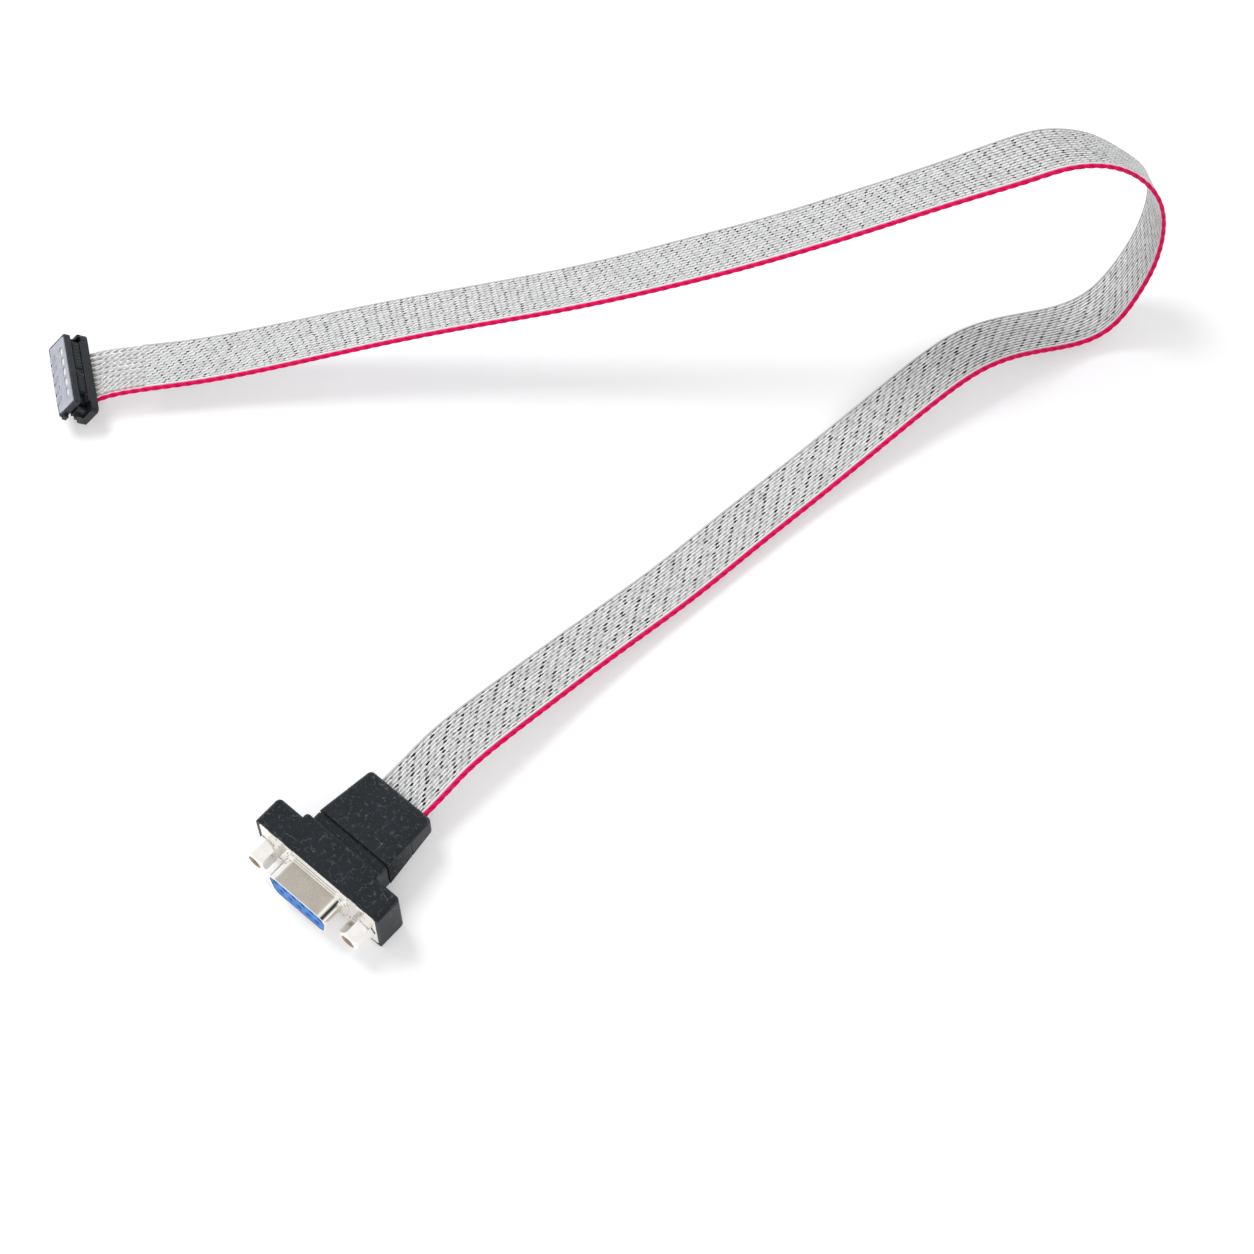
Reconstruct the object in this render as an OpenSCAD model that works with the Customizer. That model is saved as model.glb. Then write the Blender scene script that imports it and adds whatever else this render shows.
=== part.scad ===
// Ribbon cable with a D-shaped socket connector in a moulded hood at one end
// and a small ten-way header socket at the other. It lies in one open loop.
// Origin: middle of the hood block's underside. The D-shaped face looks along -Y.

/* [Ribbon] */
// Overall width of the ribbon, its red edge included
ribbon_w = 12; // [11:0.1:13]
// Thickness of the ribbon
ribbon_t = 0.9; // [0.7:0.05:1]
// Conductors side by side, the red one included
conductors = 10; // [8:2:10]
// Diameter of one insulated conductor
conductor_d = 0.84; // [0.7:0.02:0.9]

/* [Hood] */
// Hood's rim beside the flange plate
rim_side = 0.8; // [0.6:0.05:1.4]
// Hood's rim above and below the flange plate
rim_top = 0.55; // [0.4:0.05:0.9]
// Depth of the hood's front block
block_d = 6.6; // [6:0.1:8]
// Whole depth of the hood
hood_l = 23.6; // [22:0.1:28]
// Width of the collar behind the block, which is as high as the block
collar_w = 19.6; // [19.2:0.1:22]
// Depth of the collar
collar_d = 1.2; // [0.8:0.1:2]
// Depth of the band between the collar and the neck's groove
band_d = 2.1; // [1:0.1:3]
// How much lower the band lies than the neck
band_drop = 0.35; // [0.1:0.05:0.6]
// Width of the groove in front of the neck
groove_w = 0.4; // [0.3:0.05:1]
// Depth of that groove below the band
groove_depth = 0.4; // [0.2:0.05:0.8]
// Width of the neck at its front
neck_front_w = 18.2; // [17.6:0.1:19]
// Height of the neck at its front
neck_front_h = 9.8; // [9.4:0.1:10.6]
// Width of the neck at its back
neck_back_w = 16.6; // [15.5:0.1:18]
// Height of the neck at its back
neck_back_h = 6; // [5:0.1:8]
// Radius of the hood's outer edges
hood_r = 1.1; // [0.6:0.1:1.6]

/* [Metal shells] */
// From a screwlock's axis to the flange plate's end
lock_edge = 2.9; // [2.75:0.05:3.2]
// Height of the flange plate
flange_h = 12.5; // [12:0.1:12.8]
// Thickness of each of the two plates
plate_t = 0.5; // [0.4:0.05:0.7]
// From the outer contact's axis to the skirt's wide side
skirt_edge = 2.15; // [2.05:0.05:2.5]
// From that side of the skirt to a screwlock's axis
lock_gap = 4.35; // [4.2:0.05:4.6]
// Height of the D-shaped skirt
skirt_h = 7.9; // [7.6:0.1:8.3]
// How far the skirt stands out of the flange
skirt_l = 5.9; // [5:0.1:7]
// Corner radius of the skirt
skirt_r = 2.4; // [1.8:0.1:2.8]
// Wall of the skirt
skirt_wall = 0.45; // [0.35:0.05:0.6]
// Slant of the skirt's short sides in degrees
d_slant = 10; // [8:0.5:12]

/* [Contacts] */
// Contacts in the wide row; the narrow row has one less
wide_row = 6; // [5:1:6]
// Distance between neighbouring contacts of one row
contact_pitch = 2.4; // [2.2:0.05:2.45]
// Distance between the two rows
row_gap = 2.84; // [2.7:0.02:3]
// Outside diameter of a contact sleeve
sleeve_d = 1.5; // [1.4:0.05:1.6]
// Bore of a contact sleeve
sleeve_bore = 1; // [0.9:0.05:1.1]
// Height of the rear insulator behind the plates
rear_insulator_l = 4.4; // [4:0.1:5]

/* [Screwlocks] */
// Width across the flats of the hexagon
hex_af = 4.75; // [4.5:0.05:5]
// Length of the hexagon
hex_l = 5; // [4:0.1:7]
// Turn of the hexagon about its own axis in degrees
hex_turn = 16; // [0:1:60]
// Bore of the threaded hole
thread_d = 2.3; // [2.1:0.05:2.6]
// Depth of the threaded hole
thread_depth = 4.2; // [3:0.1:4.6]
// Diameter of the stud behind the hexagon
stud_d = 2.8; // [2.6:0.05:3]
// Length of the stud behind the plates
stud_l = 3.2; // [2.4:0.1:4]
// Width across the flats of the nut
nut_af = 4.6; // [4.4:0.05:4.8]
// Thickness of the nut
nut_t = 2; // [1.6:0.1:2.4]

/* [Header socket] */
// Length of the mating flange
socket_l = 17.4; // [17:0.1:18]
// Width of the mating flange
socket_w = 6.6; // [6.4:0.1:7]
// Depth of the body from its mating face to the conductors
body_depth = 3.5; // [3.4:0.1:4.2]
// Thickness of the mating flange
rim_t = 1.3; // [1:0.1:1.5]
// Thickness of the cover at the back
cover_t = 1.8; // [1.5:0.1:2.2]
// Length of the cover over its rounded ends
cover_l = 19.6; // [19.2:0.1:20.4]
// Distance between contacts along the socket
header_pitch = 2.54; // [2.5:0.01:2.6]
// Thickness of the pale face insert
face_t = 0.7; // [0.5:0.05:0.8]
// Ribs on each side panel
panel_ribs = 7; // [4:1:9]
// Tilt of the socket about its long axis in degrees
socket_tilt = 40; // [30:1:50]
// Heading of the socket's long axis in degrees
socket_heading = -36; // [-40:1:-32]

/* [Hidden] */

// Clearance between a piece and the seat it sits in
fit = 0.1;
// Small overlap of a cut past the face it opens
eps = 0.01;
round_fn = 48;

// Sizes that follow from the contacts, the skirt and the screwlocks
skirt_w = (wide_row - 1) * contact_pitch + 2 * skirt_edge;
lock_spacing = skirt_w + 2 * lock_gap;
flange_w = lock_spacing + 2 * lock_edge;
hood_w = flange_w + 2 * rim_side;
hood_h = flange_h + 2 * rim_top;
axis_z = hood_h / 2;
hood_back = hood_l - block_d / 2;

// Route of the ribbon: place of its middle line, heading and slope of its width towards the red edge
route = [
    [0, hood_back, axis_z, 0, 0],
    [0, hood_back + 7.7, axis_z, 0, 0],
    [0, hood_back + 15.2, axis_z + 1.2, -4, 2],
    [2, 56, 5, -6, 5],
    [4, 74.5, 3, -9, 9],
    [7, 93.5, 1.5, -9, 9],
    [9, 112.5, 2, -7, 8],
    [11.5, 131, 2, -8, 9],
    [14.5, 150, 4.5, -12, 10],
    [17.5, 167.5, 7.5, -15, 8],
    [20, 176, 8.5, -18, 7],
    [23, 184, 6.5, -21, 8],
    [26.5, 191.5, 3.5, -24, 8],
    [30.5, 199, 1.5, -25, 8],
    [33.5, 205.5, 3.5, -30, 9],
    [34.5, 211.5, 11, -33, 11],
    [35, 215, 18.5, -35, 13],
    [34, 217.5, 28, -40, 12],
    [31.5, 217, 35.5, -38, 16],
    [27, 214, 41, -28, 19],
    [22, 209, 47, -29, 15],
    [16.5, 201, 50.5, -32, 8],
    [12.5, 195, 49.5, -36, -3],
    [4, 182.5, 46.5, -42, 7],
    [-8, 167.5, 40.5, -43, 5],
    [-20, 154, 34, -44, 6],
    [-30.5, 143, 29, -45, 4],
    [-43.5, 129, 23.5, -47, 8],
    [-54.5, 117.5, 20, -48, 9],
    [-66.5, 105.5, 16.5, -47, 10],
    [-79, 92.5, 12.5, -45, 8],
    [-90.5, 79.5, 9, -42, 6],
    [-102, 66.5, 6, -38, 6],
    [-110.5, 57, 6, -36, 3]];
// Rings of the swept ribbon in each span of the route
span_rings = 2;
// Middle of the header socket's mating face
socket_mid = [-121.1, 44.1, 7.4];

recess_d = 2 * plate_t;
narrow_row = wide_row - 1;
wall_gap = 0.3;

// D-shaped openings and blocks, all taken from the skirt
skirt_in_w = skirt_w - 2 * skirt_wall;
skirt_in_h = skirt_h - 2 * skirt_wall;
seat_w = skirt_w + 0.7;
seat_h = skirt_h + 0.7;
rear_skirt_wall = 0.4;
rear_skirt_l = rear_insulator_l - 1;
cavity_w = seat_w + 2 * rear_skirt_wall + 2 * fit;
cavity_h = seat_h + 2 * rear_skirt_wall + 2 * fit;
cup_l = 2.4;
cup_floor = 0.7;
cavity_d = recess_d + rear_insulator_l + 0.4;
sleeve_tip = 0.7;
throat_w = 14.6;
throat_h = 5;
slot_l = 3.6;

conductor_pitch = ribbon_w / conductors;
red_r = conductor_d / 2;
red_offset = ribbon_w / 2 - red_r;

// Header socket from front to back: body, conductors, cover, and the conductors folded over its back
per_row = conductors / 2;
wire_fit = 0.05;
wire_y = body_depth + wire_fit + conductor_d / 2;
cover_y = wire_y;
socket_d = cover_y + cover_t;
fold_y = socket_d + 0.1 + conductor_d / 2;
cover_step = 0.5;
fold_z = (socket_w - cover_step) / 2 + conductor_d;
wire_end = 2.6;

function unit(v) = v / norm(v);

// One point of a uniform cubic spline over four rows, and its direction
function spline_at(q, i, t) =
    (pow(1 - t, 3) * q[i] + (3 * pow(t, 3) - 6 * t * t + 4) * q[i + 1]
    + (-3 * pow(t, 3) + 3 * t * t + 3 * t + 1) * q[i + 2] + pow(t, 3) * q[i + 3]) / 6;
function spline_dir(q, i, t) =
    (-pow(1 - t, 2) * q[i] + (3 * t * t - 4 * t) * q[i + 1]
    + (-3 * t * t + 2 * t + 1) * q[i + 2] + t * t * q[i + 3]) / 2;

// A ring's frame: its middle, the way of the ribbon's width and the way of its thickness
function ring(row, dir) = let (
    along = unit([dir[0], dir[1], dir[2]]),
    lean = [cos(row[3]) * cos(row[4]), sin(row[3]) * cos(row[4]), sin(row[4])],
    across = unit(lean - (lean * along) * along))
    [[row[0], row[1], row[2]], across, cross(along, across)];

// A route row at a depth and height in the socket's own frame
function socket_row(depth, up) = let (
    level = depth * cos(socket_tilt) + up * sin(socket_tilt),
    drop = up * cos(socket_tilt) - depth * sin(socket_tilt),
    place = socket_mid + [-sin(socket_heading) * level, cos(socket_heading) * level, drop])
    [place[0], place[1], place[2], socket_heading, 0];

// The conductors lie on the cover's back, turn round its lower edge and run in between cover and body
fold = [
    socket_row(fold_y, 2.4),
    socket_row(fold_y, -2.2),
    socket_row(fold_y - 0.1, -fold_z),
    socket_row(wire_y + 0.1, -fold_z),
    socket_row(wire_y, -2.2),
    socket_row(wire_y, wire_end)];
path = concat(route, fold);
last = len(path) - 1;
padded = concat([2 * path[0] - path[1]], path, [2 * path[last] - path[last - 1]]);
rings = concat(
    [for (i = [0 : last - 1]) for (k = [0 : span_rings - 1])
        ring(spline_at(padded, i, k / span_rings), spline_dir(padded, i, k / span_rings))],
    [ring(spline_at(padded, last - 1, 1), spline_dir(padded, last - 1, 1))]);
// From this ring on the conductors run separately
fan_start = (len(route) - 1) * span_rings;
function some(list, a, b) = [for (i = [a : b]) list[i]];

// A solid swept through ring frames, with the outline given as [across, up] pairs
module sweep(frames, outline) {
    n = len(outline);
    m = len(frames);
    points = [for (f = frames) for (p = outline) f[0] + p[0] * f[1] + p[1] * f[2]];
    sides = [for (i = [0 : m - 2]) for (j = [0 : n - 1])
        let (a = i * n + j, d = i * n + (j + 1) % n, b = a + n, c = d + n)
        each [[a, b, c], [a, c, d]]];
    near_cap = [[for (j = [0 : n - 1]) j]];
    far_cap = [[for (j = [n - 1 : -1 : 0]) (m - 1) * n + j]];
    polyhedron(points, concat(sides, near_cap, far_cap), convexity = 10);
}

function round_outline(r, sides, shift = 0) =
    [for (i = [0 : sides - 1]) [shift + r * cos(360 * i / sides), r * sin(360 * i / sides)]];
function flat_outline(x0, x1, t, c) = [[x0, c - t / 2], [x0 + c, -t / 2], [x1 - c, -t / 2], [x1, c - t / 2],
    [x1, t / 2 - c], [x1 - c, t / 2], [x0 + c, t / 2], [x0, t / 2 - c]];

// Corner arcs of the D shape, wide side up
corner_steps = 8;
function arc(c, r, a0, a1) =
    [for (i = [0 : corner_steps]) let (a = a0 + (a1 - a0) * i / corner_steps) c + r * [cos(a), sin(a)]];
function side_x(w, h, z) = w / 2 - (h / 2 - z) * tan(d_slant);
function corner(w, h, r, z) = [side_x(w, h, z) - r / cos(d_slant), z];
function d_points(w, h, r) = let (
    right = concat(arc(corner(w, h, r, h / 2 - r), r, 90, -d_slant),
        arc(corner(w, h, r, r - h / 2), r, -d_slant, -90)))
    concat(right, [for (i = [len(right) - 1 : -1 : 0]) [-right[i][0], right[i][1]]]);
module d_shape(w, h, r) { polygon(d_points(w, h, r)); }

// Flat shapes drawn as [across, up] and carried from depth y0 to y1 behind the hood's front
module deep(y0, y1) { translate([0, y1, 0]) rotate([90, 0, 0]) linear_extrude(y1 - y0) children(); }
module from_front() { translate([0, -block_d / 2, axis_z]) children(); }
module rod(y0, y1, d, at = [0, 0]) {
    translate([at[0], y1, at[1]]) rotate([90, 0, 0]) cylinder(h = y1 - y0, d = d, $fn = round_fn);
}
module round_rect(w, h, r) {
    square([w - 2 * r, h], center = true);
    square([w, h - 2 * r], center = true);
    for (x = [-1, 1], z = [-1, 1]) translate([x * (w / 2 - r), z * (h / 2 - r)]) circle(r, $fn = round_fn);
}
module at_locks(side) { translate([side * lock_spacing / 2, 0, 0]) children(); }

// A moulded block with round edges; its front may be larger than its back
module soft_block(y0, w0, h0, y1, w1, h1, r, flat_front = false) {
    hull() for (x = [-1, 1], z = [-1, 1]) {
        if (flat_front) translate([x * (w0 / 2 - r), y0 + eps, z * (h0 / 2 - r)])
            rotate([90, 0, 0]) cylinder(h = eps, r = r, $fn = 32);
        else translate([x * (w0 / 2 - r), y0 + r, z * (h0 / 2 - r)]) sphere(r, $fn = 32);
        translate([x * (w1 / 2 - r), y1 - r, z * (h1 / 2 - r)]) sphere(r, $fn = 32);
    }
}

collar_y = block_d + collar_d;
band_y = collar_y + band_d;
band_h = neck_front_h - 2 * band_drop;
neck_y = band_y + groove_w;
line_y = neck_y + (hood_l - neck_y) / 2;
line_w = 0.3;
function neck_w(y) = neck_front_w + (neck_back_w - neck_front_w) * (y - neck_y) / (hood_l - neck_y);
function neck_h(y) = neck_front_h + (neck_back_h - neck_front_h) * (y - neck_y) / (hood_l - neck_y);

module hood() {
    color([0.12, 0.14, 0.16]) from_front() difference() {
        union() {
            soft_block(0, hood_w, hood_h, block_d, hood_w, hood_h, hood_r, flat_front = true);
            soft_block(block_d - 2 * hood_r, collar_w, hood_h, collar_y, collar_w, hood_h, hood_r * 0.7);
            // band level with the neck's sides, then the floor of the groove
            deep(collar_y - hood_r, band_y) round_rect(neck_front_w, band_h, hood_r);
            deep(band_y - eps, neck_y + hood_r)
                round_rect(neck_front_w - 2 * groove_depth, band_h - 2 * groove_depth, hood_r);
            soft_block(neck_y, neck_front_w, neck_front_h, hood_l, neck_back_w, neck_back_h, hood_r,
                flat_front = true);
        }
        // fine line round the neck
        deep(line_y, line_y + line_w) difference() {
            square([hood_w, hood_h], center = true);
            round_rect(neck_w(line_y) - line_w, neck_h(line_y) - line_w, hood_r);
        }
        // seat of the two plates
        deep(-1, recess_d) round_rect(flange_w + 2 * fit, flange_h + 2 * fit, hood_r);
        // room for the rear shell and insulator, then for the wires
        deep(recess_d - eps, cavity_d) round_rect(cavity_w, cavity_h, skirt_r);
        deep(cavity_d - eps, hood_l - slot_l) round_rect(throat_w, throat_h, hood_r);
        deep(hood_l - slot_l - eps, hood_l + 1) square([ribbon_w + 2 * fit, ribbon_t + 2 * fit], center = true);
        for (side = [-1, 1]) at_locks(side)
            rod(recess_d - eps, recess_d + stud_l + wall_gap, nut_af / cos(30) + 2 * fit);
    }
}

tab_w = 2.2;
tab_in = 5.1;
tab_out = 0.9;
tab_x = [for (side = [-1, 1], d = [tab_in, tab_out]) side * (lock_spacing / 2 - d)];
tab_d = 0.6;
module front_shell() {
    color([0.74, 0.7, 0.64]) from_front() {
        difference() {
            deep(0, plate_t) round_rect(flange_w, flange_h, hood_r);
            deep(-1, plate_t + 1) d_shape(skirt_w - eps, skirt_h - eps, skirt_r);
            for (side = [-1, 1]) at_locks(side) rod(-1, plate_t + 1, stud_d + 2 * fit);
            for (x = tab_x, z = [-1, 1]) translate([x, 0, z * flange_h / 2]) deep(-1, plate_t + 1)
                square([tab_w + 2 * fit, 2 * tab_d], center = true);
        }
        difference() {
            union() {
                deep(-skirt_l, plate_t) d_shape(skirt_w, skirt_h, skirt_r);
                // drawn fillet at the root, in two steps
                deep(-0.4, plate_t) d_shape(skirt_w + 1.6, skirt_h + 1.6, skirt_r + 0.8);
                deep(-0.8, plate_t) d_shape(skirt_w + 0.7, skirt_h + 0.7, skirt_r + 0.35);
            }
            deep(-skirt_l - 1, plate_t + 1) d_shape(skirt_in_w, skirt_in_h, skirt_r - skirt_wall);
        }
    }
}

module rear_shell() {
    color([0.66, 0.64, 0.6]) from_front() {
        difference() {
            union() {
                deep(plate_t, recess_d) round_rect(flange_w, flange_h, hood_r);
                deep(plate_t, recess_d + rear_skirt_l)
                    d_shape(seat_w + 2 * rear_skirt_wall, seat_h + 2 * rear_skirt_wall, skirt_r + 0.7);
                // clinch tabs, through the notches and over the front plate
                for (x = tab_x, z = [-1, 1]) translate([x, 0, z * (flange_h / 2 - tab_d / 2)]) {
                    deep(-0.05, plate_t + eps) square([tab_w, tab_d - fit], center = true);
                    translate([0, 0, -z * 0.5]) deep(-0.3, -0.01) square([tab_w - 0.3, tab_d + 0.7], center = true);
                }
            }
            deep(plate_t - 1 + eps, recess_d + rear_skirt_l + 1)
                d_shape(seat_w, seat_h, skirt_r + 0.35);
            for (side = [-1, 1]) at_locks(side) rod(plate_t / 2, recess_d + 1, stud_d + 2 * fit);
        }
    }
}

function wide_x(i) = (i - (wide_row - 1) / 2) * contact_pitch;
function narrow_x(i) = (i - (narrow_row - 1) / 2) * contact_pitch;
module wide_places() { for (i = [0 : wide_row - 1]) translate([wide_x(i), 0, row_gap / 2]) children(); }
module narrow_places() { for (i = [0 : narrow_row - 1]) translate([narrow_x(i), 0, -row_gap / 2]) children(); }

sleeve_y = -skirt_l + sleeve_tip;
module front_insulator() {
    color([0.13, 0.42, 0.82]) from_front() difference() {
        union() {
            deep(-skirt_l + 0.2, plate_t)
                d_shape(skirt_in_w - 2 * fit, skirt_in_h - 2 * fit, skirt_r - skirt_wall);
            deep(plate_t, recess_d) d_shape(seat_w - 2 * fit, seat_h - 2 * fit, skirt_r + 0.3);
        }
        wide_places() sleeve_hole();
        narrow_places() sleeve_hole();
    }
}
module sleeve_hole() {
    rod(sleeve_y, recess_d + 1, sleeve_d + fit);
    rod(-skirt_l - 1, sleeve_y + eps, sleeve_bore + 0.2);
    translate([0, -skirt_l + 0.2, 0]) rotate([90, 0, 0])
        translate([0, 0, -0.25]) cylinder(h = 0.3, d1 = sleeve_bore + 0.2, d2 = sleeve_bore + 0.7, $fn = round_fn);
}

module rear_insulator() {
    color([0.85, 0.84, 0.8]) from_front() difference() {
        deep(recess_d, recess_d + rear_insulator_l) d_shape(seat_w - 2 * fit, seat_h - 2 * fit, skirt_r + 0.3);
        wide_places() rod(recess_d - 1, recess_d + rear_insulator_l + 1, tail_d + fit);
        narrow_places() rod(recess_d - 1, recess_d + rear_insulator_l + 1, tail_d + fit);
    }
}

tail_d = 1.1;
back_y = recess_d + rear_insulator_l;
// Sleeve in front, tail through the rear insulator and a solder cup behind it
module contact() {
    difference() {
        union() {
            rod(sleeve_y + fit / 2, recess_d - fit / 2, sleeve_d);
            rod(sleeve_y + fit / 2, back_y + cup_floor, tail_d);
            rod(back_y + fit / 2, back_y + cup_l, sleeve_d);
        }
        rod(sleeve_y - 1, -0.6, sleeve_bore);
        rod(back_y + cup_floor, back_y + cup_l + 1, sleeve_bore);
        translate([-1, back_y + cup_floor + 0.2, 0]) cube([2, cup_l, 1]);
    }
}
module upper_contacts() { color([0.8, 0.62, 0.3]) from_front() wide_places() contact(); }
module lower_contacts() { color([0.8, 0.62, 0.3]) from_front() narrow_places() mirror([0, 0, 1]) contact(); }

hex_d = hex_af / cos(30);
module screwlock(side) {
    color([0.76, 0.74, 0.7]) from_front() at_locks(side) difference() {
        union() {
            intersection() {
                rotate([90, hex_turn, 0]) cylinder(h = hex_l, d = hex_d, $fn = 6);
                rotate([90, 0, 0]) rotate_extrude($fn = round_fn) polygon([[0, 0], [hex_d / 2 - 0.15, 0],
                    [hex_d / 2 + 0.1, 0.3], [hex_d / 2 + 0.1, hex_l - 0.9], [hex_d / 2 - 0.25, hex_l - 0.3],
                    [hex_d / 2 - 0.75, hex_l], [0, hex_l]]);
            }
            rod(-eps, recess_d + stud_l, stud_d);
        }
        rod(-hex_l - 1, -hex_l + thread_depth, thread_d);
        translate([0, -hex_l + 0.5, 0]) rotate([90, 0, 0])
            cylinder(h = 0.51, d1 = thread_d, d2 = thread_d + 0.9, $fn = round_fn);
    }
}
module screwlock_left() { screwlock(-1); }
module screwlock_right() { screwlock(1); }

module nut(side) {
    color([0.7, 0.68, 0.64]) from_front() at_locks(side) difference() {
        translate([0, recess_d + nut_t, 0]) rotate([90, 0, 0]) cylinder(h = nut_t, d = nut_af / cos(30), $fn = 6);
        rod(recess_d - 1, recess_d + nut_t + 1, stud_d + 0.04);
    }
}
module nut_left() { nut(-1); }
module nut_right() { nut(1); }

// Conductors from the ribbon's end to the solder cups, one to each contact in order
function ease(u) = u * u * (3 - 2 * u);
wire_steps = 9;
cup_y = back_y + 1;
function contact_at(k) = [(k - (wide_row + narrow_row - 1) / 2) * contact_pitch / 2,
    (k % 2 == 0 ? 1 : -1) * row_gap / 2];
function wire_x(k) = k == conductors - 1 ? red_offset : (k - (conductors - 1) / 2) * conductor_pitch;
module hood_wires() {
    straight = 0.2;
    color([0.8, 0.8, 0.8]) from_front() for (k = [0 : conductors - 1])
        sweep([for (i = [0 : wire_steps]) let (
                u = i / wire_steps,
                s = ease(min(1, max(0, (u - straight) / (1 - 2 * straight)))),
                c = contact_at(k))
                [[wire_x(k) + (c[0] - wire_x(k)) * s, hood_l + (cup_y - hood_l) * u, c[1] * s],
                    [1, 0, 0], [0, 0, 1]]],
            round_outline(sleeve_bore * 0.4, 6));
}

module ribbon_web() {
    color([0.8, 0.81, 0.81])
        sweep(some(rings, 0, fan_start), flat_outline(-ribbon_w / 2, red_offset - red_r - 0.02, ribbon_t, 0.25));
}
// Rings of one conductor, which spreads to the pitch of the forks where it runs separately
function fork_x(k) = (k - (conductors - 1) / 2) * header_pitch / 2;
function spread(i) = ease(min(1, max(0, (i - fan_start) / (2 * span_rings))));
function wire_rings(k, a, b) = [for (i = [a : b])
    let (f = rings[i], x = wire_x(k) + (fork_x(k) - wire_x(k)) * spread(i)) [f[0] + x * f[1], f[1], f[2]]];
module red_conductor() {
    color([0.85, 0.05, 0.3])
        sweep(wire_rings(conductors - 1, 0, len(rings) - 1), round_outline(red_r, 8));
}
module socket_wires() {
    color([0.8, 0.81, 0.81]) for (k = [0 : conductors - 2])
        sweep(wire_rings(k, fan_start, len(rings) - 1), round_outline(conductor_d / 2, 6));
}

// Header socket, drawn with its mating face at y = 0 and its long axis along X
module at_socket() {
    translate(socket_mid) rotate([-socket_tilt, 0, socket_heading]) children();
}
core_l = socket_l - 2.4;
core_w = socket_w - 1.4;
panel_y0 = rim_t + 0.5;
panel_y1 = body_depth - 0.1;
slot_w = 1.3;
blade_w = 0.7;
blade_y = 2.2;
prong_w = 0.15;
fork_w = conductor_d + 2 * prong_w + 0.06;
header_row = 1.27;
// Oval mouths of the upper and lower contacts in the pale face
upper_mouth = [2, 1.1];
lower_mouth = [1.1, 0.5];
rib_relief = 0.08;
function header_x(i) = (i - (per_row - 1) / 2) * header_pitch;
module slab(x0, x1, y0, y1, z0, z1) { translate([x0, y0, z0]) cube([x1 - x0, y1 - y0, z1 - z0]); }

module side_panels() {
    panel_z = socket_w / 2 - 0.35;
    gap = slot_w / 2;
    far_end = -core_l / 2 + 0.4;
    near_end = core_l / 2 - 2.2;
    for (p = [[far_end, -gap], [gap, near_end]]) {
        slab(p[0], p[1], panel_y0, panel_y1, core_w / 2 - eps, panel_z - rib_relief);
        rib = (p[1] - p[0]) / (2 * panel_ribs + 1);
        for (i = [0 : panel_ribs - 1]) translate([p[0] + (2 * i + 1) * rib, 0, 0])
            slab(0, rib, panel_y0 + 0.2, panel_y1 - 0.2, panel_z - 2 * rib_relief, panel_z);
    }
}

module socket_body() {
    color([0.11, 0.13, 0.15]) at_socket() difference() {
        union() {
            deep(0, rim_t) round_rect(socket_l, socket_w, 0.5);
            slab(-core_l / 2, core_l / 2, rim_t - eps, body_depth, -core_w / 2, core_w / 2);
            side_panels();
            mirror([0, 0, 1]) side_panels();
            // ledges that the latches hook behind
            for (side = [-1, 1]) translate([side * (core_l / 2 + 0.3), 0, 0])
                slab(-0.4, 0.4, rim_t - eps, rim_t + 0.9, -1.2, 1.2);
            // scallops along the flange's lower side, and a foot at its near end
            for (i = [0 : per_row - 1]) translate([header_x(i), 0, -socket_w / 2 + 0.1])
                deep(0.1, rim_t - 0.1) oval(1.9, 0.7);
            slab(socket_l / 2 - eps, socket_l / 2 + 0.7, 0.2, rim_t - 0.1, -socket_w / 2 + 0.4, -socket_w / 2 + 1.6);
        }
        // seat of the face insert
        deep(-1, face_t) round_rect(socket_l - 1, socket_w - 1, 0.3);
        // slots of the contacts
        for (i = [0 : per_row - 1], side = [-1, 1]) translate([header_x(i), 0, side * header_row]) {
            slab(-blade_w / 2 - fit, blade_w / 2 + fit, -1, blade_y + fit, -0.3, 0.3);
            translate([-side * header_pitch / 4, 0, 0])
                slab(-fork_w / 2 - fit, fork_w / 2 + fit, blade_y - fit, body_depth + 1, -0.3, 0.3);
        }
        // pocket at the near end, closed towards the conductors
        slab(core_l / 2 - 1.9, core_l / 2 + 1, panel_y0, body_depth - 0.3, core_w / 2 - 0.9, socket_w);
    }
}

module socket_face() {
    color([0.72, 0.74, 0.77]) at_socket() difference() {
        union() {
            deep(-0.2, face_t) round_rect(socket_l - 1.1, socket_w - 1.1, 0.3);
            // raised lands of the five scallops along the lower edge
            for (i = [0 : per_row - 1]) translate([header_x(i), 0, -socket_w / 2 + 0.9])
                deep(-0.45, 0) round_rect(1.7, 0.9, 0.4);
        }
        for (i = [0 : per_row - 1]) {
            translate([header_x(i), 0, header_row]) deep(-1, face_t + 1) oval(upper_mouth[0], upper_mouth[1]);
            translate([header_x(i), 0, -header_row]) deep(-1, face_t + 1) oval(lower_mouth[0], lower_mouth[1]);
        }
    }
}
module oval(l, w) {
    square([l - w, w], center = true);
    for (side = [-1, 1]) translate([side * (l - w) / 2, 0]) circle(d = w, $fn = round_fn);
}

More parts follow.
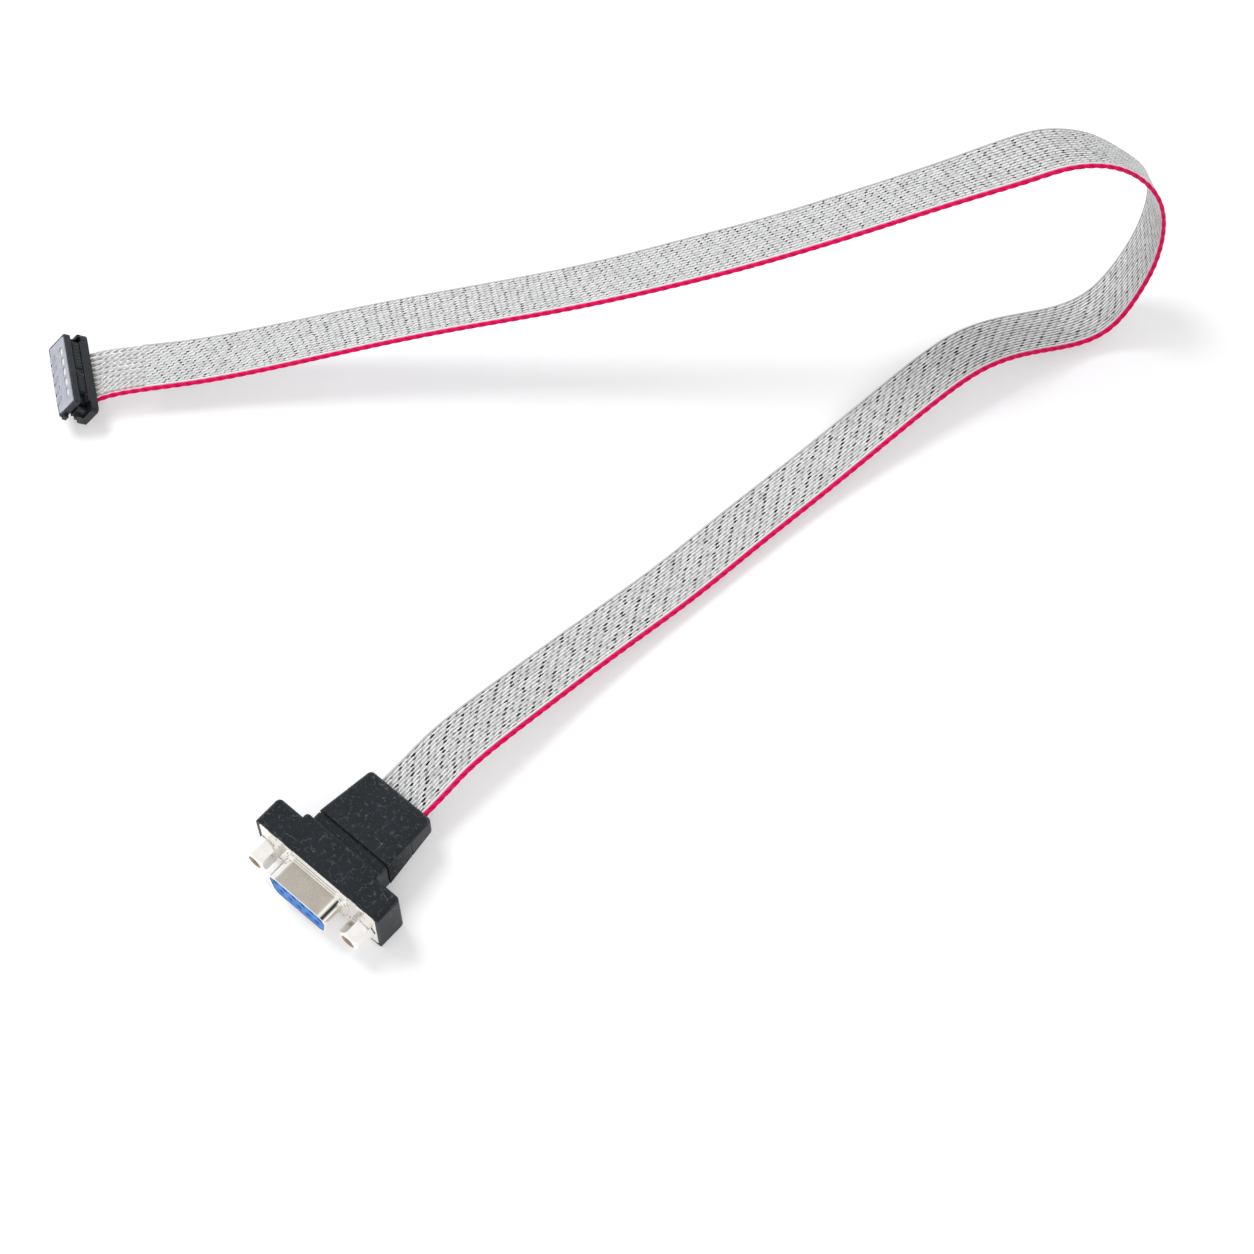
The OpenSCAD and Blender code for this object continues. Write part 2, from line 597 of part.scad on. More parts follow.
// A flared end in its mouth, a blade behind it, and a two-pronged fork that straddles one conductor
module fork(side) {
    mouth = side > 0 ? upper_mouth : lower_mouth;
    deep(-0.05, face_t - 0.1) oval(mouth[0] - 2 * fit, mouth[1] - 2 * fit);
    slab(-blade_w / 2, blade_w / 2, face_t - 0.1 - eps, blade_y, -0.15, 0.15);
    translate([-side * header_pitch / 4, 0, 0]) {
        slab(-fork_w / 2, fork_w / 2, blade_y - eps, body_depth - 0.1, -0.15, 0.15);
        for (x = [-1, 1]) translate([x * (fork_w - prong_w) / 2, 0, 0])
            slab(-prong_w / 2, prong_w / 2, body_depth - 0.1 - eps, wire_y + conductor_d / 2, -0.15, 0.15);
    }
}
module forks(side) {
    color([0.85, 0.84, 0.8]) at_socket()
        for (i = [0 : per_row - 1]) translate([header_x(i), 0, side * header_row]) fork(side);
}
module upper_forks() { forks(1); }
module lower_forks() { forks(-1); }

latch_w = 2.8;
latch_t = 0.7;
latch_x = cover_l / 2 - 1.05;
cover_w = socket_w - cover_step;
lip_y = body_depth + wire_fit;
lip_z = wire_end + fit;
mouth_h = 0.8;
mouth_flare = 0.2;
module socket_cover() {
    color([0.1, 0.12, 0.14]) at_socket() {
        difference() {
            deep(cover_y, socket_d) round_rect(cover_l, cover_w, 0.9);
            // a groove for each conductor and a pocket for each fork's prongs
            for (k = [0 : conductors - 1]) translate([fork_x(k), wire_y, 0]) {
                translate([0, 0, -socket_w]) cylinder(h = socket_w + lip_z, d = conductor_d + 2 * wire_fit,
                    $fn = round_fn);
                // its mouth is flared where the conductor turns round the cover's edge
                translate([0, 0, -cover_w / 2 - eps]) cylinder(h = mouth_h, d1 = conductor_d + 2 * mouth_flare,
                    d2 = conductor_d + 2 * wire_fit, $fn = round_fn);
                translate([0, 0, (k % 2 == 0 ? 1 : -1) * header_row]) slab(-fork_w / 2 - fit, fork_w / 2 + fit, -1,
                    conductor_d / 2 + 0.2, -0.3, 0.3);
            }
        }
        cover_lips();
        for (side = [-1, 1]) translate([side * latch_x, 0, 0])
            slab(-latch_t / 2, latch_t / 2, rim_t + 0.25, cover_y + eps, -latch_w / 2, latch_w / 2);
        // horn on the far latch and foot on the near one
        translate([-latch_x, 0, 0]) {
            slab(-latch_t / 2, latch_t / 2, 3.1, 4.1, latch_w / 2 - eps, 2.9);
            translate([0, 3.6, 2.9]) rotate([0, 90, 0]) cylinder(h = latch_t, r = 0.5, center = true, $fn = 24);
        }
        translate([latch_x, 0, 0]) slab(latch_t / 2 - eps, latch_t / 2 + 0.8, 2.2, 3.4, -1.4, -0.2);
    }
}
// Lips that close the gap to the body above the conductors' cut ends and beside the outer conductors
module cover_lips() {
    lip_x = fork_x(conductors - 1) + conductor_d / 2 + 0.3;
    slab(-core_l / 2, core_l / 2, lip_y, cover_y + eps, lip_z, cover_w / 2);
    for (x = [[-core_l / 2, -lip_x], [lip_x, core_l / 2]]) slab(x[0], x[1], lip_y, cover_y + eps, -core_w / 2,
        lip_z + eps);
}

hood();
front_shell();
rear_shell();
front_insulator();
rear_insulator();
upper_contacts();
lower_contacts();
screwlock_left();
screwlock_right();
nut_left();
nut_right();
hood_wires();
ribbon_web();
red_conductor();
socket_wires();
socket_body();
socket_face();
upper_forks();
lower_forks();
socket_cover();
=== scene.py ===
# Ribbon cable with a D-shaped socket in a moulded hood at one end and a ten-way header socket at the other
import bisect
import math
import random

import bmesh
import bpy
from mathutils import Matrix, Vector


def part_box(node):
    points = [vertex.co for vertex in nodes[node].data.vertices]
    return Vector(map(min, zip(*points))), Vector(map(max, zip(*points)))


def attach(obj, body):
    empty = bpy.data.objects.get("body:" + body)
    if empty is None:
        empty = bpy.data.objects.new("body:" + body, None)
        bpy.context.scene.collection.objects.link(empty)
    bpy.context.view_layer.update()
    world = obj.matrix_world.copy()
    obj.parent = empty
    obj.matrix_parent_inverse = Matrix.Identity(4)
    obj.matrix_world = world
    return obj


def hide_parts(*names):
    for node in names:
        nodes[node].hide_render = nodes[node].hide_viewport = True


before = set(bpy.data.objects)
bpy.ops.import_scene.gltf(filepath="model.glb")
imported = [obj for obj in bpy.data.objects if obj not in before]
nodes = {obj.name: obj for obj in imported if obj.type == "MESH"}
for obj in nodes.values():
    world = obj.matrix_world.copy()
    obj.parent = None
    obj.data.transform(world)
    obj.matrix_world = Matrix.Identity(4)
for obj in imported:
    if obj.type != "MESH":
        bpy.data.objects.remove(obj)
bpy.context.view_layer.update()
print("frame loaded:", len(nodes), "nodes")

mm = 0.001
body = "root"


# Camera, at the angle of the photograph
camera = {
    "place": (0.18786, -0.12695, 0.5375),
    "aim": (0.00572, 0.08072, 0),
    "lens": 84.63,
    "sensor": 36,
}


def makeCamera():
    data = bpy.data.cameras.new("camera")
    data.lens = camera["lens"]
    data.sensor_width = camera["sensor"]
    data.clip_start = 0.01
    data.clip_end = 20
    obj = bpy.data.objects.new("camera", data)
    bpy.context.scene.collection.objects.link(obj)
    place = Vector(camera["place"])
    obj.location = place
    obj.rotation_mode = "QUATERNION"
    obj.rotation_quaternion = (Vector(camera["aim"]) - place).to_track_quat("-Z", "Y")
    bpy.context.scene.camera = obj


makeCamera()
print("camera placed")


# Route of the ribbon's middle: x, y, z, then heading and slope of its width towards the red edge, in degrees
route = {
    "rows": [
        (0.0000, 0.0203, 0.0068, 0, 0), (0.0000, 0.0280, 0.0068, 0, 0), (0.0000, 0.0355, 0.0080, -4, 2),
        (0.0020, 0.0560, 0.0050, -6, 5), (0.0040, 0.0745, 0.0030, -9, 9), (0.0070, 0.0935, 0.0015, -9, 9),
        (0.0090, 0.1125, 0.0020, -7, 8), (0.0115, 0.1310, 0.0020, -8, 9), (0.0145, 0.1500, 0.0045, -12, 10),
        (0.0175, 0.1675, 0.0075, -15, 8), (0.0200, 0.1760, 0.0085, -18, 7), (0.0230, 0.1840, 0.0065, -21, 8),
        (0.0265, 0.1915, 0.0035, -24, 8), (0.0305, 0.1990, 0.0015, -25, 8), (0.0335, 0.2055, 0.0035, -30, 9),
        (0.0345, 0.2115, 0.0110, -33, 11), (0.0350, 0.2150, 0.0185, -35, 13), (0.0340, 0.2175, 0.0280, -40, 12),
        (0.0315, 0.2170, 0.0355, -38, 16), (0.0270, 0.2140, 0.0410, -28, 19), (0.0220, 0.2090, 0.0470, -29, 15),
        (0.0165, 0.2010, 0.0505, -32, 8), (0.0125, 0.1950, 0.0495, -36, -3), (0.0040, 0.1825, 0.0465, -42, 7),
        (-0.0080, 0.1675, 0.0405, -43, 5), (-0.0200, 0.1540, 0.0340, -44, 6), (-0.0305, 0.1430, 0.0290, -45, 4),
        (-0.0435, 0.1290, 0.0235, -47, 8), (-0.0545, 0.1175, 0.0200, -48, 9), (-0.0665, 0.1055, 0.0165, -47, 10),
        (-0.0790, 0.0925, 0.0125, -45, 8), (-0.0905, 0.0795, 0.0090, -42, 6), (-0.1020, 0.0665, 0.0060, -38, 6),
        (-0.1105, 0.0570, 0.0060, -36, 3),
    ],
    "socketMiddle": (-0.1211, 0.0441, 0.0074),
    "socketHeading": -36,
    "socketTilt": 40,
    # depth behind the mating face and height, along the fold round the cover
    "fold": [(0.00629, 0.0024), (0.00629, -0.0022), (0.00619, -0.00389), (0.00407, -0.00389),
             (0.00397, -0.0022), (0.00397, 0.0026)],
    "stepsPerSpan": 40,
}


def socketAxes():
    heading = math.radians(route["socketHeading"])
    tilt = math.radians(route["socketTilt"])
    along = Vector((math.cos(heading), math.sin(heading), 0))
    level = Vector((-math.sin(heading), math.cos(heading), 0))
    depth = level * math.cos(tilt) - Vector((0, 0, math.sin(tilt)))
    up = level * math.sin(tilt) + Vector((0, 0, math.cos(tilt)))
    return along, depth, up


socketAlong, socketDepth, socketUp = socketAxes()


def atSocket(x, depth, up):
    return Vector(route["socketMiddle"]) + socketAlong * x + socketDepth * depth + socketUp * up


def pathRows():
    folded = [tuple(atSocket(0, depth, up)) + (route["socketHeading"], 0) for depth, up in route["fold"]]
    rows = route["rows"] + folded
    before = tuple(2 * a - b for a, b in zip(rows[0], rows[1]))
    after = tuple(2 * a - b for a, b in zip(rows[-1], rows[-2]))
    return [before] + rows + [after]


def splineRow(rows, i, t):
    weights = ((1 - t) ** 3, 3 * t ** 3 - 6 * t * t + 4, -3 * t ** 3 + 3 * t * t + 3 * t + 1, t ** 3)
    return [sum(w * rows[i + k][c] for k, w in enumerate(weights)) / 6 for c in range(5)]


def splineWay(rows, i, t):
    weights = (-(1 - t) ** 2, 3 * t * t - 4 * t, -3 * t * t + 2 * t + 1, t * t)
    return Vector([sum(w * rows[i + k][c] for k, w in enumerate(weights)) for c in range(3)]).normalized()


# Close stations along the route: place, way across to the red edge, way up out of the ribbon, and span
def makeStations():
    rows = pathRows()
    spans = len(rows) - 3
    steps = route["stepsPerSpan"]
    found = []
    for n in range(spans * steps + 1):
        i = min(n // steps, spans - 1)
        t = n / steps - i
        row = splineRow(rows, i, t)
        way = splineWay(rows, i, t)
        turn, lean = math.radians(row[3]), math.radians(row[4])
        across = Vector((math.cos(turn) * math.cos(lean), math.sin(turn) * math.cos(lean), math.sin(lean)))
        across = (across - way * across.dot(way)).normalized()
        found.append((Vector(row[:3]), across, way.cross(across), n / steps))
    return found


stations = makeStations()
distances = [0.0]
for here, there in zip(stations, stations[1:]):
    distances.append(distances[-1] + (there[0] - here[0]).length)
cordLength = distances[-1]
fanSpan = len(route["rows"]) - 1
webLength = distances[fanSpan * route["stepsPerSpan"]]
print("route: %.1f mm long, woven for %.1f mm" % (cordLength / mm, webLength / mm))


# The ribbon's own frame at a distance from the hood
def ribbonFrame(s):
    i = min(max(bisect.bisect_right(distances, s) - 1, 0), len(distances) - 2)
    t = (s - distances[i]) / (distances[i + 1] - distances[i])
    a, b = stations[i], stations[i + 1]
    return a[0].lerp(b[0], t), a[1].lerp(b[1], t), a[2].lerp(b[2], t), a[3] + (b[3] - a[3]) * t


def addObject(name, bm, materials, smooth=True):
    mesh = bpy.data.meshes.new(name)
    for face in bm.faces:
        face.smooth = smooth
    bm.to_mesh(mesh)
    bm.free()
    obj = bpy.data.objects.new(name, mesh)
    bpy.context.scene.collection.objects.link(obj)
    for material in materials:
        mesh.materials.append(material)
    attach(obj, body)
    return obj


# A closed body swept along the ribbon: outlineAt(s) gives the outline's points [across, up] at that distance,
# and mark(vert, s, x, z) may write what the materials read
def sweep(bm, places, outlineAt, materialOf=None, mark=None):
    uv = bm.loops.layers.uv.verify()
    rings = []
    for s in places:
        place, across, up, span = ribbonFrame(s)
        ring = []
        for x, z in outlineAt(s, span):
            ring.append(bm.verts.new(place + across * x + up * z))
            if mark:
                mark(ring[-1], s, x, z)
        rings.append(ring)
    count = len(rings[0])
    for i, (a, b) in enumerate(zip(rings, rings[1:])):
        for j in range(count):
            k = (j + 1) % count
            face = bm.faces.new((a[j], a[k], b[k], b[j]))
            if materialOf:
                face.material_index = materialOf(j)
            corners = ((i, j), (i, j + 1), (i + 1, j + 1), (i + 1, j))
            for loop, (m, n) in zip(face.loops, corners):
                loop[uv].uv = (places[m] / mm, n / count)
    bm.faces.new(list(reversed(rings[0])))
    bm.faces.new(rings[-1])


def evenPlaces(start, end, step):
    count = max(2, round((end - start) / step))
    return [start + (end - start) * i / count for i in range(count + 1)]


def smoothStep(u):
    u = min(1, max(0, u))
    return u * u * (3 - 2 * u)


# Shader building
def newMaterial(name, color, roughness, metallic=0.0):
    material = bpy.data.materials.new(name)
    material.use_nodes = True
    tree = material.node_tree
    shader = tree.nodes["Principled BSDF"]
    shader.inputs["Base Color"].default_value = (*color, 1)
    shader.inputs["Roughness"].default_value = roughness
    shader.inputs["Metallic"].default_value = metallic
    return material, tree, shader


def node(tree, kind, **values):
    made = tree.nodes.new(kind)
    for name, value in values.items():
        setattr(made, name, value)
    return made


def link(tree, source, target):
    tree.links.new(source, target)


def objectPlace(tree):
    return node(tree, "ShaderNodeTexCoord").outputs["Object"]


def noiseOn(tree, vector, scale, detail=2.0, roughness=0.5):
    made = node(tree, "ShaderNodeTexNoise")
    made.inputs["Scale"].default_value = scale
    made.inputs["Detail"].default_value = detail
    made.inputs["Roughness"].default_value = roughness
    link(tree, vector, made.inputs["Vector"])
    return made.outputs["Fac"]


def rampOn(tree, factor, stops):
    made = node(tree, "ShaderNodeValToRGB")
    made.color_ramp.elements[0].position = stops[0][0]
    made.color_ramp.elements[0].color = (*stops[0][1], 1)
    made.color_ramp.elements[1].position = stops[-1][0]
    made.color_ramp.elements[1].color = (*stops[-1][1], 1)
    for position, color in stops[1:-1]:
        made.color_ramp.elements.new(position).color = (*color, 1)
    link(tree, factor, made.inputs["Fac"])
    return made.outputs["Color"]


def rangeOn(tree, value, low, high, toLow, toHigh):
    made = node(tree, "ShaderNodeMapRange")
    for name, number in (("From Min", low), ("From Max", high), ("To Min", toLow), ("To Max", toHigh)):
        made.inputs[name].default_value = number
    link(tree, value, made.inputs["Value"])
    return made.outputs["Result"]


def mathOn(tree, operation, a, b):
    made = node(tree, "ShaderNodeMath", operation=operation)
    for slot, value in zip(made.inputs, (a, b)):
        if isinstance(value, (int, float)):
            slot.default_value = value
        else:
            link(tree, value, slot)
    return made.outputs["Value"]


def mixOn(tree, factor, a, b):
    made = node(tree, "ShaderNodeMix", data_type="RGBA")
    link(tree, factor, made.inputs["Factor"])
    for slot, value in zip((made.inputs[6], made.inputs[7]), (a, b)):
        if isinstance(value, tuple):
            slot.default_value = (*value, 1)
        else:
            link(tree, value, slot)
    return made.outputs[2]


def bumpOn(tree, height, distance, strength=1.0, normal=None):
    made = node(tree, "ShaderNodeBump")
    made.inputs["Strength"].default_value = strength
    made.inputs["Distance"].default_value = distance
    link(tree, height, made.inputs["Height"])
    if normal:
        link(tree, normal, made.inputs["Normal"])
    return made.outputs["Normal"]


# Woven ribbon
ribbon = {
    "width": 0.012,
    "wireRadius": 0.00042,
    "redRadius": 0.0005,
    "redOffset": 0.0056,
    "conductors": 10,
    "headerPitch": 0.00254,
    "step": 0.001,
}
# Light floats lie in rows, and in the grooves between the rows the weave opens in short gaps, drawn as dashes of
# painted shade on the ground beneath
weave = {
    "grooves": 16,
    "firstGroove": -0.00546,
    "lastGroove": 0.00463,
    # distance from the hood in m, then length of a float, step of the dashes from one groove to the next (both in
    # mm), lean of the floats in degrees, and strength of the painted shade in the dashes and in the thread lines
    "stops": [
        (0.000, 2.2, 0.87, 3, 1.3, 0.5), (0.130, 2.2, 0.87, 3, 1.2, 0.5), (0.165, 2.4, 0.80, 4, 1.1, 1.1),
        (0.205, 2.2, 0.50, 6, 0.9, 0.9), (0.250, 1.6, 0.30, 8, 1.3, 0.5), (0.300, 1.45, 0.50, 14, 2.0, 0.5),
        (0.345, 1.4, 0.42, 16, 1.9, 0.4), (0.362, 1.35, 0.12, 16, 1.4, 0.4), (0.400, 1.4, 0.12, 16, 1.6, 0.4),
        (0.430, 1.5, 0.32, 20, 2.0, 0.4), (0.470, 1.5, 0.62, 24, 2.4, 0.6),
    ],
    "tableStep": 0.0005,
    "overlap": 1.02,
    "width": 0.00038,
    "height": 0.00015,
    "level": 0.00025,
    "woven": 0.460,
    "seed": 7,
    "groundColor": (0.60, 0.60, 0.605),
    "gapShadeColor": (0.012, 0.011, 0.010),
    "floatColors": ((0.72, 0.72, 0.73), (0.88, 0.885, 0.89), (0.96, 0.965, 0.97)),
    "selvedgeColors": ((0.44, 0.435, 0.425), (0.66, 0.655, 0.645)),
    "paleColors": ((0.80, 0.85, 0.86), (0.88, 0.93, 0.94)),
}
weave["rowPitch"] = (weave["lastGroove"] - weave["firstGroove"]) / (weave["grooves"] - 1)


# Values of the weave between its stops
def weaveAt(s):
    stops = weave["stops"]
    s = min(max(s, stops[0][0]), stops[-1][0])
    for a, b in zip(stops, stops[1:]):
        if s <= b[0]:
            u = smoothStep((s - a[0]) / (b[0] - a[0]))
            return [p + (q - p) * u for p, q in zip(a[1:], b[1:])]


# Running count of floats, and how far it steps from row to row, at close distances from the hood
def makeWeaveTable():
    table = []
    phase = -4.0
    s = -0.010
    while s < cordLength:
        long, step = weaveAt(s)[:2]
        table.append((s, phase, step / long))
        phase += weave["tableStep"] / (long * mm)
        s += weave["tableStep"]
    return table


weaveTable = makeWeaveTable()


def weaveCount(s):
    i = (s - weaveTable[0][0]) / weave["tableStep"]
    n = min(max(int(i), 0), len(weaveTable) - 2)
    a, b = weaveTable[n], weaveTable[n + 1]
    return a[1] + (b[1] - a[1]) * (i - n), a[2] + (b[2] - a[2]) * (i - n)


# Where the floats of one row end
def floatEnds(row):
    ends = []
    middle = (weave["grooves"] - 1) / 2
    for a, b in zip(weaveTable, weaveTable[1:]):
        low = a[1] + a[2] * (row - middle)
        high = b[1] + b[2] * (row - middle)
        for n in range(math.ceil(low), math.ceil(high)):
            ends.append(a[0] + (b[0] - a[0]) * (n - low) / (high - low))
    return ends


def attributeOn(tree, name):
    return node(tree, "ShaderNodeAttribute", attribute_name=name).outputs["Fac"]


def floatMaterial():
    material, tree, shader = newMaterial("wovenFloats", weave["floatColors"][1], 0.6)
    uvMap = node(tree, "ShaderNodeUVMap", uv_map="UVMap")
    stretch = node(tree, "ShaderNodeMapping")
    stretch.inputs["Scale"].default_value = (0.6, 4, 1)
    link(tree, uvMap.outputs["UV"], stretch.inputs["Vector"])
    fibres = noiseOn(tree, stretch.outputs["Vector"], 1.0, 3, 0.6)
    mixed = mathOn(tree, "ADD", mathOn(tree, "MULTIPLY", attributeOn(tree, "tone"), 0.5),
                   mathOn(tree, "MULTIPLY", fibres, 0.5))
    dark, middle, light = weave["floatColors"]
    link(tree, rampOn(tree, mixed, [(0.2, dark), (0.45, middle), (0.7, light)]), shader.inputs["Base Color"])
    link(tree, bumpOn(tree, fibres, 0.00003, 0.6), shader.inputs["Normal"])
    shader.inputs["Specular IOR Level"].default_value = 0.3
    return material


# Ground between the floats, with painted shade: thin grey lines of shade along the grooves, and dark dashes of shade
# where the weave opens
def groundMaterial():
    material, tree, shader = newMaterial("wovenGround", weave["groundColor"], 0.75)
    shader.inputs["Specular IOR Level"].default_value = 0.2
    place = objectPlace(tree)
    row = attributeOn(tree, "row")
    groove = mathOn(tree, "ROUND", row, 0)
    step = mathOn(tree, "MULTIPLY", attributeOn(tree, "twist"),
                  mathOn(tree, "SUBTRACT", groove, (weave["grooves"] - 1) / 2))
    count = mathOn(tree, "ADD", attributeOn(tree, "phase"), step)
    cell = mathOn(tree, "ROUND", count, 0)
    both = node(tree, "ShaderNodeCombineXYZ")
    link(tree, cell, both.inputs["X"])
    link(tree, groove, both.inputs["Y"])
    chance = node(tree, "ShaderNodeTexWhiteNoise")
    link(tree, both.outputs["Vector"], chance.inputs["Vector"])
    split = node(tree, "ShaderNodeSeparateColor")
    link(tree, chance.outputs["Color"], split.inputs["Color"])
    shift, length, depth = split.outputs["Red"], split.outputs["Green"], split.outputs["Blue"]
    strong = mathOn(tree, "SUBTRACT", 1, mathOn(tree, "FLOORED_MODULO", cell, 2))
    # place inside the oval of painted shade, in millimetres
    along = mathOn(tree, "MULTIPLY", mathOn(tree, "SUBTRACT", count, cell), attributeOn(tree, "floatLength"))
    sway = mathOn(tree, "MULTIPLY", rangeOn(tree, shift, 0, 1, -0.25, 0.25), attributeOn(tree, "floatLength"))
    along = mathOn(tree, "ADD", along, sway)
    wave = rangeOn(tree, noiseOn(tree, place, 700, 2), 0, 1, -0.09, 0.09)
    aside = mathOn(tree, "MULTIPLY", mathOn(tree, "SUBTRACT", row, groove), weave["rowPitch"] / mm)
    aside = mathOn(tree, "ADD", aside, wave)
    half = mathOn(tree, "ADD", rangeOn(tree, length, 0, 1, 0.3, 0.54), mathOn(tree, "MULTIPLY", strong, 0.12))
    half = mathOn(tree, "MULTIPLY", half, rangeOn(tree, attributeOn(tree, "floatLength"), 1.4, 2.2, 0.62, 1))
    oval = mathOn(tree, "ADD", mathOn(tree, "POWER", mathOn(tree, "DIVIDE", along, half), 2),
                  mathOn(tree, "POWER", mathOn(tree, "DIVIDE", aside, 0.24), 2))
    # dark dash of painted shade, standing for the shadowed gap between the floats
    gapShade = rangeOn(tree, oval, 0.7, 1.35, 1, 0)
    deep = mathOn(tree, "MULTIPLY", rangeOn(tree, depth, 0, 1, 0.4, 1.0),
                  mathOn(tree, "ADD", 0.55, mathOn(tree, "MULTIPLY", strong, 0.45)))
    gapShade = mathOn(tree, "MULTIPLY", gapShade, mathOn(tree, "MULTIPLY", deep, attributeOn(tree, "gapShadeStrength")))
    # thin grey line of painted shade along the middle of each groove
    grooveShade = rangeOn(tree, mathOn(tree, "ABSOLUTE", aside, 0), 0.03, 0.14, 1, 0)
    grooveShade = mathOn(tree, "MULTIPLY", grooveShade, rangeOn(tree, noiseOn(tree, place, 900, 2), 0.4, 0.6, 0.3, 1))
    grooveShade = mathOn(tree, "MULTIPLY", grooveShade, attributeOn(tree, "grooveShadeStrength"))
    value = mathOn(tree, "MAXIMUM", gapShade, grooveShade)
    # the ground is darkened by the painted shade of the dashes and of the groove lines
    link(tree, mixOn(tree, value, weave["groundColor"], weave["gapShadeColor"]), shader.inputs["Base Color"])
    link(tree, bumpOn(tree, mathOn(tree, "SUBTRACT", 1, value), 0.00012, 0.5), shader.inputs["Normal"])
    return material


def edgeMaterial(name, colors):
    material, tree, shader = newMaterial(name, colors[1], 0.5)
    shader.inputs["Specular IOR Level"].default_value = 0.3
    uvMap = node(tree, "ShaderNodeUVMap", uv_map="UVMap")
    stretch = node(tree, "ShaderNodeMapping")
    stretch.inputs["Scale"].default_value = (0.5, 22, 1)
    link(tree, uvMap.outputs["UV"], stretch.inputs["Vector"])
    streaks = noiseOn(tree, stretch.outputs["Vector"], 1.0, 3)
    link(tree, rampOn(tree, streaks, [(0.35, colors[0]), (0.6, colors[1])]), shader.inputs["Base Color"])
    link(tree, bumpOn(tree, streaks, 0.00003, 0.6), shader.inputs["Normal"])
    return material


wovenFloats = floatMaterial()
wovenGround = groundMaterial()
selvedge = edgeMaterial("selvedge", weave["selvedgeColors"])
paleEdge = edgeMaterial("paleEdge", weave["paleColors"])


# Half the web's outline, from the grey edge to the red one: [across, up]
def webOutline(s, span):
    half = [(-0.00592, 0.00022), (-0.00578, 0.00036), (-0.00562, 0.00034), (-0.00552, 0.00025),
            (0.00466, 0.00025), (0.00474, 0.00034), (0.00488, 0.00038), (0.00506, 0.00032)]
    return [(-0.006, 0)] + half + [(0.00514, 0)] + [(x, -z) for x, z in reversed(half)]


def webMaterial(j):
    if j in (4, 13):
        return 0
    return 2 if 4 < j < 13 else 1


def wireX(k):
    if k == ribbon["conductors"] - 1:
        return ribbon["redOffset"]
    return (k - (ribbon["conductors"] - 1) / 2) * ribbon["width"] / ribbon["conductors"]


# Where the conductors run separately they spread to the pitch of the forks
def wireAcross(k, span):
    spread = smoothStep((span - fanSpan) / 2)
    forkX = (k - (ribbon["conductors"] - 1) / 2) * ribbon["headerPitch"] / 2
    return wireX(k) + (forkX - wireX(k)) * spread


# Outline of a twisted pair of strands at a distance along it
def twistOutline(middle, radius, s, lay, sides, valley, lobes=2):
    turn = 2 * math.pi * s / lay
    points = []
    for i in range(sides):
        angle = 2 * math.pi * i / sides
        reach = radius * (1 - valley * (1 - abs(math.cos((angle - turn) * lobes / 2))))
        points.append((middle + reach * math.cos(angle), reach * math.sin(angle)))
    return points


def makeRibbon():
    bm = bmesh.new()
    names = ("phase", "twist", "row", "floatLength", "gapShadeStrength", "grooveShadeStrength")
    layers = {name: bm.verts.layers.float.new(name) for name in names}

    # the marks carry the weave's pattern and how strong its painted shade is
    def mark(vert, s, x, z):
        long, step, lean, gapShadeStrength, grooveShadeStrength = weaveAt(s)
        phase, twist = weaveCount(s)
        row = (x - weave["firstGroove"]) / weave["rowPitch"]
        for name, value in zip(names, (phase, twist, row, long, gapShadeStrength, grooveShadeStrength)):
            vert[layers[name]] = value

    sweep(bm, evenPlaces(0, webLength, ribbon["step"]), webOutline, webMaterial, mark)
    wirePlaces = evenPlaces(webLength - ribbon["step"], cordLength, 0.00025)
    for k in range(ribbon["conductors"] - 1):
        sweep(bm, wirePlaces, lambda s, span: twistOutline(wireAcross(k, span), ribbon["wireRadius"], s,
                                                           0.0026, 10, 0.28), lambda j: 1)
    obj = addObject("ribbon", bm, [wovenGround, selvedge, paleEdge])
    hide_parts("ribbon_web", "socket_wires")
    return obj


